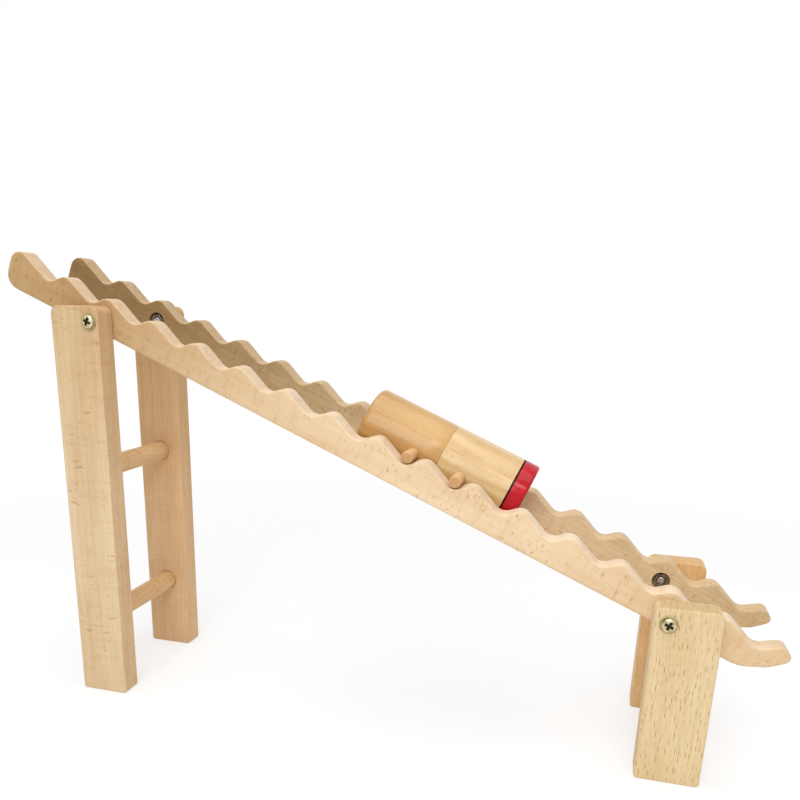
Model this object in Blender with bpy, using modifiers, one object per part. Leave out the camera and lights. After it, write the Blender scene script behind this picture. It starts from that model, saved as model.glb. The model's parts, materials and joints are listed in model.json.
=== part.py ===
"""Clown flip ladder toy: two scalloped rails on folding legs, and a weighted clown that tumbles down them.

Lengths are in metres, +Z is up, +X runs downhill along the ladder and the near side is -Y.
The toy stands with its feet on z = 0.
"""

import math

import bmesh
import bpy
from mathutils import Matrix, Vector

MM = 0.001

# Clearances
FIT = 0.30 * MM
SEAT = 0.10 * MM

# Rails: notches on the upper edge, counted from the top of the slope
NOTCH_COUNT = 16
PITCH = 28.0 * MM
UPHILL_WALL = math.radians(24.0)
DOWNHILL_WALL = math.radians(43.0)
NOTCH_RADIUS = 6.5 * MM
CREST_RADIUS = 6.5 * MM
RAIL_THICKNESS = 12.0 * MM
RAIL_BELOW_NOTCH = 13.0 * MM
RAIL_EDGE_ROUND = 1.1 * MM
RAIL_GAP = 43.0 * MM
HEAD_OVERHANG = 25.1 * MM
HEAD_TOP_RADIUS = 9.0 * MM
HEAD_BOTTOM_RADIUS = 8.0 * MM
TOE_BEND_SETBACK = 0.6 * MM
TOE_BEND_RADIUS = 15.0 * MM
TOE_SOLE_REACH = 11.4 * MM
TOE_SOLE_LIFT = 6.5 * MM
TOE_SOLE_RADIUS = 12.0 * MM
TOE_TIP_REACH = 19.4 * MM
TOE_TIP_LIFT = 15.0 * MM
TOE_TIP_RADIUS = 3.2 * MM
TOE_LIP_REACH = 12.4 * MM
TOE_LIP_HEIGHT = 7.0 * MM
TOE_LIP_RADIUS = 4.0 * MM

# Legs: each pair turns on bolts through the rails
PIVOT_ABOVE_EDGE = 7.0 * MM
REAR_PIVOT_FROM_FIRST_NOTCH = 40.6 * MM
FRONT_PIVOT_FROM_LAST_NOTCH = 42.8 * MM
LEG_THICKNESS = 14.0 * MM
LEG_CORNER_RADIUS = 4.5 * MM
LEG_FOOT_RADIUS = 2.0 * MM
LEG_EDGE_ROUND = 0.8 * MM
PIVOT_BELOW_TOP = 8.3 * MM
REAR_LEG_DROP = 219.0 * MM
REAR_LEG_WIDTH = 29.2 * MM
REAR_PIVOT_INSET = 5.3 * MM
FRONT_LEG_DROP = 85.6 * MM
FRONT_LEG_WIDTH = 31.6 * MM
FRONT_PIVOT_INSET = 6.9 * MM

# Rungs: round bars let into the middle of the legs' inner faces
RUNG_DIAMETER = 12.0 * MM
RUNG_SOCKET_DEPTH = 8.0 * MM
RUNG_END_ROUND = 0.8 * MM
REAR_UPPER_RUNG_DROP = 82.5 * MM
REAR_LOWER_RUNG_DROP = 172.5 * MM
FRONT_UPPER_RUNG_DROP = 40.7 * MM
FRONT_LOWER_RUNG_DROP = 66.0 * MM

# Pivot hardware
BOLT_DIAMETER = 4.0 * MM
BOLT_HEAD_DIAMETER = 7.6 * MM
BOLT_HEAD_HEIGHT = 1.7 * MM
BOLT_SHOULDER_SHARE = 0.45
BOLT_END_PROUD = 0.4 * MM
CROSS_SLOT_LENGTH = 4.4 * MM
CROSS_SLOT_WIDTH = 1.0 * MM
CROSS_SLOT_DEPTH = 1.1 * MM
WASHER_DIAMETER = 10.0 * MM
WASHER_THICKNESS = 0.7 * MM
NUT_ACROSS_FLATS = 7.0 * MM
NUT_THICKNESS = 3.2 * MM
NUT_POCKET_DIAMETER = 10.0 * MM
NUT_SUNK = 0.8 * MM

# Clown: two turned halves round a bore that holds the ball
CLOWN_DIAMETER = 40.0 * MM
HEAD_HALF_LENGTH = 49.0 * MM
TAIL_HALF_LENGTH = 47.0 * MM
HEAD_END_ROUND = 1.4 * MM
TAIL_END_ROUND = 2.8 * MM
CLOWN_END_WALL = 10.0 * MM
SEAM_CHAMFER = 0.4 * MM
SPIGOT_LENGTH = 7.0 * MM
SPIGOT_WALL = 3.6 * MM
BALL_DIAMETER = 20.0 * MM
BALL_PLAY = 0.5 * MM
PEG_DIAMETER = 7.0 * MM
PEG_SPAN = 66.4 * MM
PEG_SOCKET_DEPTH = 6.0 * MM
PEG_TIP_ROUND = 1.0 * MM
REST_NOTCH = 9

# Facets
ARC_STEP = math.radians(17.0)
SHARP_ANGLE = math.radians(40.0)
FLAT_ANGLE = math.radians(0.5)
ROUND_SIDES = 32
SMALL_SIDES = 20
RIM_STEPS = 3
DOME_STEPS = 3
SIDE_SHARE = 0.92
WELD = 0.01 * MM

# Values that follow from the sizes above
WALL_RISE = PITCH / (1.0 / math.tan(UPHILL_WALL) + 1.0 / math.tan(DOWNHILL_WALL))
WALL_TURN = math.sin(UPHILL_WALL + DOWNHILL_WALL)
NOTCH_POINT_DROP = NOTCH_RADIUS * ((math.sin(UPHILL_WALL) + math.sin(DOWNHILL_WALL)) / WALL_TURN - 1.0)
NOTCH_POINT_SHIFT = NOTCH_RADIUS * (math.cos(UPHILL_WALL) - math.cos(DOWNHILL_WALL)) / WALL_TURN
LAST_NOTCH = (NOTCH_COUNT - 1) * PITCH
REAR_PIVOT = REAR_PIVOT_FROM_FIRST_NOTCH
FRONT_PIVOT = LAST_NOTCH - FRONT_PIVOT_FROM_LAST_NOTCH
PIVOT_HEIGHT = PIVOT_ABOVE_EDGE - RAIL_BELOW_NOTCH
SLOPE = math.asin((REAR_LEG_DROP - FRONT_LEG_DROP) / (FRONT_PIVOT - REAR_PIVOT))
RAIL_INNER = RAIL_GAP / 2.0
RAIL_OUTER = RAIL_INNER + RAIL_THICKNESS
LEG_INNER = RAIL_OUTER + FIT
LEG_OUTER = LEG_INNER + LEG_THICKNESS
RUNG_RADIUS = RUNG_DIAMETER / 2.0
BOLT_HOLE = BOLT_DIAMETER / 2.0 + FIT
NUT_FLOOR = RAIL_INNER + NUT_SUNK + NUT_THICKNESS
CLOWN_RADIUS = CLOWN_DIAMETER / 2.0
BALL_RADIUS = BALL_DIAMETER / 2.0
BORE_RADIUS = BALL_RADIUS + BALL_PLAY
HEAD_BORE = HEAD_HALF_LENGTH - CLOWN_END_WALL
TAIL_BORE = TAIL_HALF_LENGTH - CLOWN_END_WALL
SPIGOT_RADIUS = BORE_RADIUS + SPIGOT_WALL
PEG_RADIUS = PEG_DIAMETER / 2.0
PEG_FLOAT = NOTCH_RADIUS - PEG_RADIUS - FIT
PEG_ALONG = PEG_FLOAT * math.sin(SLOPE)
PEG_UP = NOTCH_RADIUS - PEG_FLOAT * math.cos(SLOPE)

SIDES = {"near": -1.0, "far": 1.0}


def new_collection(name):
    collection = bpy.data.collections.new(name)
    bpy.context.scene.collection.children.link(collection)
    return collection


def new_material(name, colour, roughness, metallic=0.0):
    material = bpy.data.materials.new(name)
    material.use_nodes = True
    shader = material.node_tree.nodes["Principled BSDF"]
    shader.inputs["Base Color"].default_value = (*colour, 1.0)
    shader.inputs["Roughness"].default_value = roughness
    shader.inputs["Metallic"].default_value = metallic
    material.diffuse_color = (*colour, 1.0)
    return material


def new_empty(name, parent=None, location=(0.0, 0.0, 0.0), rotation=(0.0, 0.0, 0.0)):
    empty = bpy.data.objects.new(name, None)
    PARTS.objects.link(empty)
    empty.parent = parent
    empty.location = location
    empty.rotation_euler = rotation
    return empty


def add_part(name, mesh, material, parent, location=(0.0, 0.0, 0.0), rotation=(0.0, 0.0, 0.0)):
    """Place a mesh as one named piece of the toy."""
    part = bpy.data.objects.new(name, mesh)
    PARTS.objects.link(part)
    part.parent = parent
    part.location = location
    part.rotation_euler = rotation
    part.data.materials.clear()
    part.data.materials.append(material)
    return part


def add_cutter(name, mesh, parent, location, rotation=(0.0, 0.0, 0.0)):
    cutter = bpy.data.objects.new(name, mesh)
    CUTTERS.objects.link(cutter)
    cutter.parent = parent
    cutter.location = location
    cutter.rotation_euler = rotation
    cutter.hide_render = True
    cutter.display_type = "WIRE"
    return cutter


def cut(part, cutter):
    boolean = part.modifiers.new(cutter.name, "BOOLEAN")
    boolean.operation = "DIFFERENCE"
    boolean.object = cutter


def corner_turn(corners, index):
    """The heading into a corner, the turn made there, and the length of the side that follows."""
    x, y, _ = corners[index]
    before = corners[index - 1]
    after = corners[(index + 1) % len(corners)]
    heading = math.atan2(y - before[1], x - before[0])
    turn = math.atan2(after[1] - y, after[0] - x) - heading
    turn = (turn + math.pi) % (2.0 * math.pi) - math.pi
    return heading, turn, math.hypot(after[0] - x, after[1] - y)


def rounded_outline(corners):
    """Turn (x, y, radius) corners into points, with arcs that never outgrow the sides they share."""
    turns = [corner_turn(corners, index) for index in range(len(corners))]
    reaches = [corner[2] * math.tan(abs(turn[1]) / 2.0) for corner, turn in zip(corners, turns)]
    fill = []
    for index, (_, _, side_length) in enumerate(turns):
        wanted = reaches[index] + reaches[(index + 1) % len(corners)]
        fill.append(SIDE_SHARE * side_length / max(wanted, WELD))
    points = []
    for index, (x, y, full_radius) in enumerate(corners):
        heading, turn, _ = turns[index]
        limit = min(1.0, fill[index], fill[index - 1])
        radius = full_radius * limit
        reach = reaches[index] * limit
        side = math.copysign(1.0, turn)
        start_x = x - reach * math.cos(heading)
        start_y = y - reach * math.sin(heading)
        centre_x = start_x - side * radius * math.sin(heading)
        centre_y = start_y + side * radius * math.cos(heading)
        steps = max(2, math.ceil(abs(turn) / ARC_STEP))
        for step in range(steps + 1):
            angle = heading + turn * step / steps
            points.append((
                centre_x + side * radius * math.sin(angle),
                centre_y - side * radius * math.cos(angle),
            ))
    return points


def plate_mesh(name, points, thickness, edge_round=0.0):
    """Extrude an outline drawn in X and Z to a board that is centred on Y, with rounded edges."""
    curve = bpy.data.curves.new(name, "CURVE")
    curve.dimensions = "2D"
    curve.fill_mode = "BOTH"
    curve.extrude = thickness / 2.0 - edge_round
    curve.bevel_depth = edge_round
    curve.bevel_resolution = 1
    curve.offset = -edge_round
    spline = curve.splines.new("POLY")
    spline.points.add(len(points) - 1)
    for point, (x, y) in zip(spline.points, points):
        point.co = (x, y, 0.0, 1.0)
    spline.use_cyclic_u = True
    outline = bpy.data.objects.new(name, curve)
    CUTTERS.objects.link(outline)
    evaluated = outline.evaluated_get(bpy.context.evaluated_depsgraph_get())
    mesh = bpy.data.meshes.new_from_object(evaluated)
    bpy.data.objects.remove(outline)
    bpy.data.curves.remove(curve)
    solid = bmesh.new()
    solid.from_mesh(mesh)
    bmesh.ops.remove_doubles(solid, verts=solid.verts, dist=WELD)
    bmesh.ops.dissolve_limit(solid, angle_limit=FLAT_ANGLE, verts=solid.verts, edges=solid.edges)
    bmesh.ops.transform(solid, matrix=Matrix.Rotation(math.pi / 2.0, 4, "X"), verts=solid.verts)
    solid.to_mesh(mesh)
    solid.free()
    mesh.name = name
    mesh.shade_smooth()
    mesh.set_sharp_from_angle(angle=SHARP_ANGLE)
    return mesh


def profile_mesh(name, points):
    """Draw a half profile of (radius, height) points in the XZ plane, for a turned piece."""
    mesh = bpy.data.meshes.new(name)
    edges = [(index, index + 1) for index in range(len(points) - 1)]
    mesh.from_pydata([(radius, 0.0, height) for radius, height in points], edges, [])
    return mesh


def add_turning(part, sides):
    screw = part.modifiers.new("turn", "SCREW")
    screw.axis = "Z"
    screw.steps = sides
    screw.render_steps = sides
    screw.use_merge_vertices = True
    screw.merge_threshold = WELD
    screw.use_smooth_shade = True


def cylinder_mesh(name, radius, length, sides=SMALL_SIDES):
    """A plain cylinder on Z, centred on its origin."""
    mesh = bpy.data.meshes.new(name)
    solid = bmesh.new()
    bmesh.ops.create_cone(
        solid, cap_ends=True, segments=sides, radius1=radius, radius2=radius, depth=length,
    )
    solid.to_mesh(mesh)
    solid.free()
    return mesh


def quarter_round(radius, height, round_radius, steps=RIM_STEPS):
    """Points of a rounded rim from the top face at a height down to the side at a radius."""
    points = []
    for step in range(steps + 1):
        angle = math.pi / 2.0 * step / steps
        points.append((
            radius - round_radius + round_radius * math.sin(angle),
            height - round_radius + round_radius * math.cos(angle),
        ))
    return points


def notch_point(index):
    """The sharp point below notch INDEX, before it is rounded."""
    return index * PITCH + NOTCH_POINT_SHIFT, -NOTCH_POINT_DROP


def rail_outline():
    """The side view of a rail: X runs downhill from notch 0, Y is square to the slope."""
    bottom = -RAIL_BELOW_NOTCH
    crest_run = WALL_RISE / math.tan(DOWNHILL_WALL)
    crest_height = WALL_RISE - NOTCH_POINT_DROP
    corners = [
        (-HEAD_OVERHANG, bottom, HEAD_BOTTOM_RADIUS),
        (LAST_NOTCH - TOE_BEND_SETBACK, bottom, TOE_BEND_RADIUS),
        (LAST_NOTCH + TOE_SOLE_REACH, bottom + TOE_SOLE_LIFT, TOE_SOLE_RADIUS),
        (LAST_NOTCH + TOE_TIP_REACH, bottom + TOE_TIP_LIFT, TOE_TIP_RADIUS),
        (LAST_NOTCH + TOE_LIP_REACH, TOE_LIP_HEIGHT, TOE_LIP_RADIUS),
    ]
    for index in reversed(range(NOTCH_COUNT)):
        along, height = notch_point(index)
        corners.append((along, height, NOTCH_RADIUS))
        corners.append((along - PITCH + crest_run, crest_height, CREST_RADIUS))
    corners.append((-HEAD_OVERHANG, crest_height, HEAD_TOP_RADIUS))
    return rounded_outline(corners)


def leg_outline(width, inset, drop, outward):
    """A leg's side view round its pivot at the origin, wider on the side that OUTWARD points to."""
    inner = -outward * inset
    outer = outward * (width - inset)
    left, right = sorted((inner, outer))
    corners = [
        (left, -drop, LEG_FOOT_RADIUS),
        (right, -drop, LEG_FOOT_RADIUS),
        (right, PIVOT_BELOW_TOP, LEG_CORNER_RADIUS),
        (left, PIVOT_BELOW_TOP, LEG_CORNER_RADIUS),
    ]
    return rounded_outline(corners)


def build_rails():
    mesh = plate_mesh("rail", rail_outline(), RAIL_THICKNESS, RAIL_EDGE_ROUND)
    hole = cylinder_mesh("rail_bolt_hole", BOLT_HOLE, 2.0 * RAIL_THICKNESS)
    pocket_depth = NUT_SUNK + NUT_THICKNESS
    pocket = cylinder_mesh("nut_pocket", NUT_POCKET_DIAMETER / 2.0, 2.0 * pocket_depth)
    across = (math.pi / 2.0, 0.0, 0.0)
    for side, sign in SIDES.items():
        middle = sign * (RAIL_INNER + RAIL_OUTER) / 2.0
        rail = add_part(f"rail_{side}", mesh.copy(), RAIL_WOOD, LADDER, (0.0, middle, 0.0))
        for end, along in PIVOTS.items():
            spot = (along, middle, PIVOT_HEIGHT)
            cut(rail, add_cutter(f"{end}_bolt_hole_rail_{side}", hole, LADDER, spot, across))
            spot = (along, sign * RAIL_INNER, PIVOT_HEIGHT)
            cut(rail, add_cutter(f"{end}_nut_pocket_{side}", pocket, LADDER, spot, across))


def build_leg_pair(end, width, inset, drop, outward, rung_drops):
    """Two legs on one pivot line, with the rungs that join them."""
    pivot = LEG_PIVOTS[end]
    rung_line = outward * (width / 2.0 - inset)
    mesh = plate_mesh(f"{end}_leg", leg_outline(width, inset, drop, outward), LEG_THICKNESS, LEG_EDGE_ROUND)
    hole = cylinder_mesh(f"{end}_leg_bolt_hole", BOLT_HOLE, 2.0 * LEG_THICKNESS)
    socket_depth = RUNG_SOCKET_DEPTH + FIT
    socket = cylinder_mesh(f"{end}_rung_socket", RUNG_RADIUS + FIT, 2.0 * socket_depth, ROUND_SIDES)
    across = (math.pi / 2.0, 0.0, 0.0)
    for side, sign in SIDES.items():
        middle = sign * (LEG_INNER + LEG_OUTER) / 2.0
        leg = add_part(f"{end}_leg_{side}", mesh.copy(), LEG_WOOD, pivot, (0.0, middle, 0.0))
        cut(leg, add_cutter(f"{end}_bolt_hole_leg_{side}", hole, pivot, (0.0, middle, 0.0), across))
        for level, rung_drop in rung_drops.items():
            spot = (rung_line, sign * LEG_INNER, -rung_drop)
            cut(leg, add_cutter(f"{end}_{level}_socket_{side}", socket, pivot, spot, across))
    for level, rung_drop in rung_drops.items():
        half = LEG_INNER + RUNG_SOCKET_DEPTH
        rim = quarter_round(RUNG_RADIUS, half, RUNG_END_ROUND, steps=1)
        points = [(0.0, half), *rim, *[(radius, -height) for radius, height in reversed(rim)], (0.0, -half)]
        spot = (rung_line, 0.0, -rung_drop)
        name = f"{end}_{level}_rung"
        rung = add_part(name, profile_mesh(name, points), RUNG_WOOD, pivot, spot, across)
        add_turning(rung, ROUND_SIDES)


def bolt_profile():
    """A pan head with a low dome over a plain shank, with z = 0 under the head."""
    head_radius = BOLT_HEAD_DIAMETER / 2.0
    shoulder = BOLT_HEAD_HEIGHT * BOLT_SHOULDER_SHARE
    points = []
    for step in range(DOME_STEPS + 1):
        angle = math.pi / 2.0 * step / DOME_STEPS
        points.append((
            head_radius * math.sin(angle),
            shoulder + (BOLT_HEAD_HEIGHT - shoulder) * math.cos(angle),
        ))
    head_seat = LEG_OUTER + 2.0 * SEAT + WASHER_THICKNESS
    length = head_seat - (NUT_FLOOR - SEAT - NUT_THICKNESS - BOLT_END_PROUD)
    radius = BOLT_DIAMETER / 2.0
    points += [(head_radius, 0.0), (radius, 0.0), (radius, -length), (0.0, -length)]
    return points


def cross_slot_mesh():
    """A plus-shaped cutter for the recess in a bolt head."""
    arm = CROSS_SLOT_LENGTH / 2.0
    half = CROSS_SLOT_WIDTH / 2.0
    corners = []
    for quarter in range(4):
        turn = Matrix.Rotation(quarter * math.pi / 2.0, 2)
        for x, y in ((arm, -half), (arm, half), (half, half)):
            corners.append((turn @ Vector((x, y)))[:])
    mesh = plate_mesh("cross_slot", corners, 2.0 * CROSS_SLOT_DEPTH)
    mesh.transform(Matrix.Rotation(-math.pi / 2.0, 4, "X"))
    return mesh


def washer_profile():
    inner = BOLT_HOLE
    outer = WASHER_DIAMETER / 2.0
    half = WASHER_THICKNESS / 2.0
    return [(inner, half), (outer, half), (outer, -half), (inner, -half), (inner, half)]


def build_hardware():
    slot = cross_slot_mesh()
    nut_radius = NUT_ACROSS_FLATS / math.sqrt(3.0)
    nut_hole = cylinder_mesh("nut_hole", BOLT_HOLE, 2.0 * NUT_THICKNESS)
    for end, along in PIVOTS.items():
        for side, sign in SIDES.items():
            outward = (-sign * math.pi / 2.0, 0.0, 0.0)
            tag = f"{end}_{side}"
            washer_spot = (along, sign * (LEG_OUTER + SEAT + WASHER_THICKNESS / 2.0), PIVOT_HEIGHT)
            washer_mesh = profile_mesh(f"washer_{tag}", washer_profile())
            washer = add_part(f"washer_{tag}", washer_mesh, WASHER_STEEL, LADDER, washer_spot, outward)
            add_turning(washer, SMALL_SIDES)

            bolt_spot = (along, sign * (LEG_OUTER + 2.0 * SEAT + WASHER_THICKNESS), PIVOT_HEIGHT)
            bolt_mesh = profile_mesh(f"pivot_bolt_{tag}", bolt_profile())
            bolt = add_part(f"pivot_bolt_{tag}", bolt_mesh, BOLT_STEEL, LADDER, bolt_spot, outward)
            add_turning(bolt, SMALL_SIDES)
            top = sign * (LEG_OUTER + 2.0 * SEAT + WASHER_THICKNESS + BOLT_HEAD_HEIGHT)
            cut(bolt, add_cutter(f"cross_slot_{tag}", slot, LADDER, (along, top, PIVOT_HEIGHT), outward))

            nut_spot = (along, sign * (NUT_FLOOR - SEAT - NUT_THICKNESS / 2.0), PIVOT_HEIGHT)
            nut_mesh = cylinder_mesh(f"pivot_nut_{tag}", nut_radius, NUT_THICKNESS, 6)
            nut = add_part(f"pivot_nut_{tag}", nut_mesh, NUT_STEEL, LADDER, nut_spot, outward)
            cut(nut, add_cutter(f"nut_hole_{tag}", nut_hole, LADDER, nut_spot, outward))


def head_half_profile():
    """The red-capped half: an open cup from the seam at z = 0 up to its closed end."""
    half_gap = FIT / 2.0
    socket = SPIGOT_RADIUS + FIT
    return [
        (0.0, HEAD_HALF_LENGTH),
        *quarter_round(CLOWN_RADIUS, HEAD_HALF_LENGTH, HEAD_END_ROUND),
        (CLOWN_RADIUS, half_gap + SEAM_CHAMFER),
        (CLOWN_RADIUS - SEAM_CHAMFER, half_gap),
        (socket, half_gap),
        (socket, SPIGOT_LENGTH + FIT),
        (BORE_RADIUS, SPIGOT_LENGTH + FIT),
        (BORE_RADIUS, HEAD_BORE),
        (0.0, HEAD_BORE),
    ]


def tail_half_profile():
    """The plain half: an open cup below the seam, with a spigot that enters the other half."""
    half_gap = FIT / 2.0
    rim = quarter_round(CLOWN_RADIUS, TAIL_HALF_LENGTH, TAIL_END_ROUND)
    return [
        (0.0, -TAIL_BORE),
        (BORE_RADIUS, -TAIL_BORE),
        (BORE_RADIUS, SPIGOT_LENGTH),
        (SPIGOT_RADIUS, SPIGOT_LENGTH),
        (SPIGOT_RADIUS, -half_gap),
        (CLOWN_RADIUS - SEAM_CHAMFER, -half_gap),
        (CLOWN_RADIUS, -half_gap - SEAM_CHAMFER),
        *[(radius, -height) for radius, height in reversed(rim)],
        (0.0, -TAIL_HALF_LENGTH),
    ]


def peg_profile():
    """A short dowel from the floor of its socket, at z = 0, out to a rounded tip."""
    length = PEG_SPAN / 2.0 - (CLOWN_RADIUS - PEG_SOCKET_DEPTH)
    return [(0.0, length), *quarter_round(PEG_RADIUS, length, PEG_TIP_ROUND), (PEG_RADIUS, 0.0), (0.0, 0.0)]


def build_clown():
    middle = (0.0, 0.0, -PITCH / 2.0)
    head_mesh = profile_mesh("clown_head_half", head_half_profile())
    tail_mesh = profile_mesh("clown_tail_half", tail_half_profile())
    halves = {
        "head": add_part("clown_head_half", head_mesh, HEAD_WOOD, CLOWN, middle),
        "tail": add_part("clown_tail_half", tail_mesh, TAIL_WOOD, CLOWN, middle),
    }
    floor = CLOWN_RADIUS - PEG_SOCKET_DEPTH
    socket = cylinder_mesh("peg_socket", PEG_RADIUS + FIT, 2.0 * (PEG_SOCKET_DEPTH + FIT))
    heights = {"head": 0.0, "tail": -PITCH}
    for half, height in heights.items():
        add_turning(halves[half], ROUND_SIDES)
        for side, sign in SIDES.items():
            outward = (-sign * math.pi / 2.0, 0.0, 0.0)
            name = f"{half}_peg_{side}"
            spot = (0.0, sign * CLOWN_RADIUS, height)
            cut(halves[half], add_cutter(f"{name}_socket", socket, CLOWN, spot, outward))
            spot = (0.0, sign * floor, height)
            peg = add_part(name, profile_mesh(name, peg_profile()), PEG_WOOD, CLOWN, spot, outward)
            add_turning(peg, SMALL_SIDES)


def build_ball():
    """The loose weight, lying at the low end of the bore."""
    mesh = bpy.data.meshes.new("weight_ball")
    solid = bmesh.new()
    bmesh.ops.create_uvsphere(solid, u_segments=SMALL_SIDES, v_segments=SMALL_SIDES // 2, radius=BALL_RADIUS)
    solid.to_mesh(mesh)
    solid.free()
    mesh.shade_smooth()
    low_end = -PITCH / 2.0 + HEAD_BORE - BALL_RADIUS - FIT
    add_part("weight_ball", mesh, BALL_STEEL, CLOWN, (0.0, 0.0, low_end))


def centre_on_floor():
    """Shift the toy along X so that its bounding box is centred over the origin."""
    bpy.context.view_layer.update()
    graph = bpy.context.evaluated_depsgraph_get()
    reach = []
    for part in PARTS.objects:
        if part.type == "MESH":
            evaluated = part.evaluated_get(graph)
            reach += [(part.matrix_world @ vertex.co).x for vertex in evaluated.data.vertices]
    STANCE.location.x = -(min(reach) + max(reach)) / 2.0


for leftover in list(bpy.data.objects):
    bpy.data.objects.remove(leftover)

PARTS = new_collection("clown_flip_ladder")
CUTTERS = new_collection("cutters")

RAIL_WOOD = new_material("rail_wood", (0.80, 0.58, 0.34), 0.45)
LEG_WOOD = new_material("leg_wood", (0.78, 0.56, 0.33), 0.5)
RUNG_WOOD = new_material("rung_wood", (0.76, 0.54, 0.31), 0.5)
HEAD_WOOD = new_material("head_wood", (0.83, 0.60, 0.29), 0.35)
TAIL_WOOD = new_material("tail_wood", (0.71, 0.40, 0.15), 0.3)
PEG_WOOD = new_material("peg_wood", (0.78, 0.52, 0.26), 0.45)
BOLT_STEEL = new_material("bolt_zinc", (0.72, 0.62, 0.38), 0.3, 1.0)
WASHER_STEEL = new_material("washer_zinc", (0.70, 0.64, 0.48), 0.35, 1.0)
NUT_STEEL = new_material("nut_zinc", (0.35, 0.32, 0.26), 0.4, 1.0)
BALL_STEEL = new_material("ball_steel", (0.56, 0.57, 0.58), 0.15, 1.0)

PIVOTS = {"rear": REAR_PIVOT, "front": FRONT_PIVOT}

# The rear pivot stands above x = 0 until the toy is centred
STANCE = new_empty("stance")
LADDER = new_empty("ladder_slope", STANCE, rotation=(0.0, SLOPE, 0.0))
LADDER.location = (
    -REAR_PIVOT * math.cos(SLOPE) - PIVOT_HEIGHT * math.sin(SLOPE),
    0.0,
    REAR_LEG_DROP + REAR_PIVOT * math.sin(SLOPE) - PIVOT_HEIGHT * math.cos(SLOPE),
)
PIVOT_SPAN = (FRONT_PIVOT - REAR_PIVOT) * math.cos(SLOPE)
LEG_PIVOTS = {
    "rear": new_empty("rear_leg_pivot", STANCE, (0.0, 0.0, REAR_LEG_DROP)),
    "front": new_empty("front_leg_pivot", STANCE, (PIVOT_SPAN, 0.0, FRONT_LEG_DROP)),
}
CLOWN = new_empty(
    "clown_flip_axis", LADDER, (REST_NOTCH * PITCH + PEG_ALONG, 0.0, PEG_UP), (0.0, math.pi / 2.0, 0.0),
)
bpy.context.view_layer.update()

build_rails()
build_leg_pair(
    "rear", REAR_LEG_WIDTH, REAR_PIVOT_INSET, REAR_LEG_DROP, -1.0,
    {"upper": REAR_UPPER_RUNG_DROP, "lower": REAR_LOWER_RUNG_DROP},
)
build_leg_pair(
    "front", FRONT_LEG_WIDTH, FRONT_PIVOT_INSET, FRONT_LEG_DROP, 1.0,
    {"upper": FRONT_UPPER_RUNG_DROP, "lower": FRONT_LOWER_RUNG_DROP},
)
build_hardware()
build_clown()
build_ball()
centre_on_floor()
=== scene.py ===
"""Looks of the clown flip ladder toy: finer meshes, beech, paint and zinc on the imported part."""

import json
import math
from collections import namedtuple

import bmesh
import bpy
from mathutils import Matrix, Vector


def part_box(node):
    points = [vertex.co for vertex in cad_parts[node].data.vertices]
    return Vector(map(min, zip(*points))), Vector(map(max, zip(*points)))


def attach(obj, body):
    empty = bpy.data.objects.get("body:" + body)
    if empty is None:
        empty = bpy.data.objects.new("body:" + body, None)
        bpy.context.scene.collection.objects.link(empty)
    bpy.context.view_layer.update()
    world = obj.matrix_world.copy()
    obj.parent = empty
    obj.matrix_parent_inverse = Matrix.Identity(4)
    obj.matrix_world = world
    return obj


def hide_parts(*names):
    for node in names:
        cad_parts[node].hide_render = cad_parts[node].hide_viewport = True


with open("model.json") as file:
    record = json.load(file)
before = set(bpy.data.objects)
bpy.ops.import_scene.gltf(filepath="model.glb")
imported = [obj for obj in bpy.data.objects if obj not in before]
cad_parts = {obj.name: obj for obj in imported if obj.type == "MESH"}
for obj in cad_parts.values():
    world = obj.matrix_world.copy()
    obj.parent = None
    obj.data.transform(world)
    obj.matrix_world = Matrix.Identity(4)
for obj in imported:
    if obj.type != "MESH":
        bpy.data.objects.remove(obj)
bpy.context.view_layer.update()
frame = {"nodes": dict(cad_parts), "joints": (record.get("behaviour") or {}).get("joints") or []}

MM = 0.001
WELD = 0.002 * MM
SHARP_ANGLE = math.radians(38.0)
BOARD_SHARP_ANGLE = math.radians(62.0)
BOARD_SHADING_WEIGHT = 60

# Facets
CLOWN_SIDES = 144
DOWEL_SIDES = 72
HARDWARE_SIDES = 56
RIM_STEPS = 8
QUARTER_TURN = [math.pi / 2.0 * step / RIM_STEPS for step in range(RIM_STEPS + 1)]

# Sizes that the finer meshes share with the solids
FIT = 0.30 * MM
SEAT = 0.10 * MM
CLOWN_RADIUS = 20.0 * MM
HEAD_LENGTH = 49.0 * MM
TAIL_LENGTH = 47.0 * MM
HEAD_ROUND = 1.4 * MM
TAIL_ROUND = 2.8 * MM
END_WALL = 10.0 * MM
SPIGOT_LENGTH = 7.0 * MM
SPIGOT_RADIUS = 14.1 * MM
BORE_RADIUS = 10.5 * MM
PEG_SPACING = 28.0 * MM
PEG_REACH = 33.2 * MM
PEG_SOCKET_DEPTH = 6.0 * MM
PEG_TIP_ROUND = 1.0 * MM
RUNG_RADIUS = 6.0 * MM
RUNG_HALF = 41.8 * MM
RUNG_ROUND = 0.8 * MM
LEG_OUTER = 47.8 * MM
BOLT_RADIUS = 2.0 * MM
BOLT_HEAD_HEIGHT = 1.7 * MM
BOLT_SHOULDER = 0.77 * MM
BOLT_DOME = BOLT_HEAD_HEIGHT - BOLT_SHOULDER
BOLT_END = 21.8 * MM
WASHER_THICKNESS = 0.7 * MM
BOLT_SEAT = LEG_OUTER + 2.0 * SEAT + WASHER_THICKNESS

# Pegs and fasteners at the photo's size, a little under that of their solids
PEG_RADIUS = 3.2 * MM
BOLT_HEAD_RADIUS = 3.4 * MM
WASHER_RADIUS = 4.35 * MM

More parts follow.
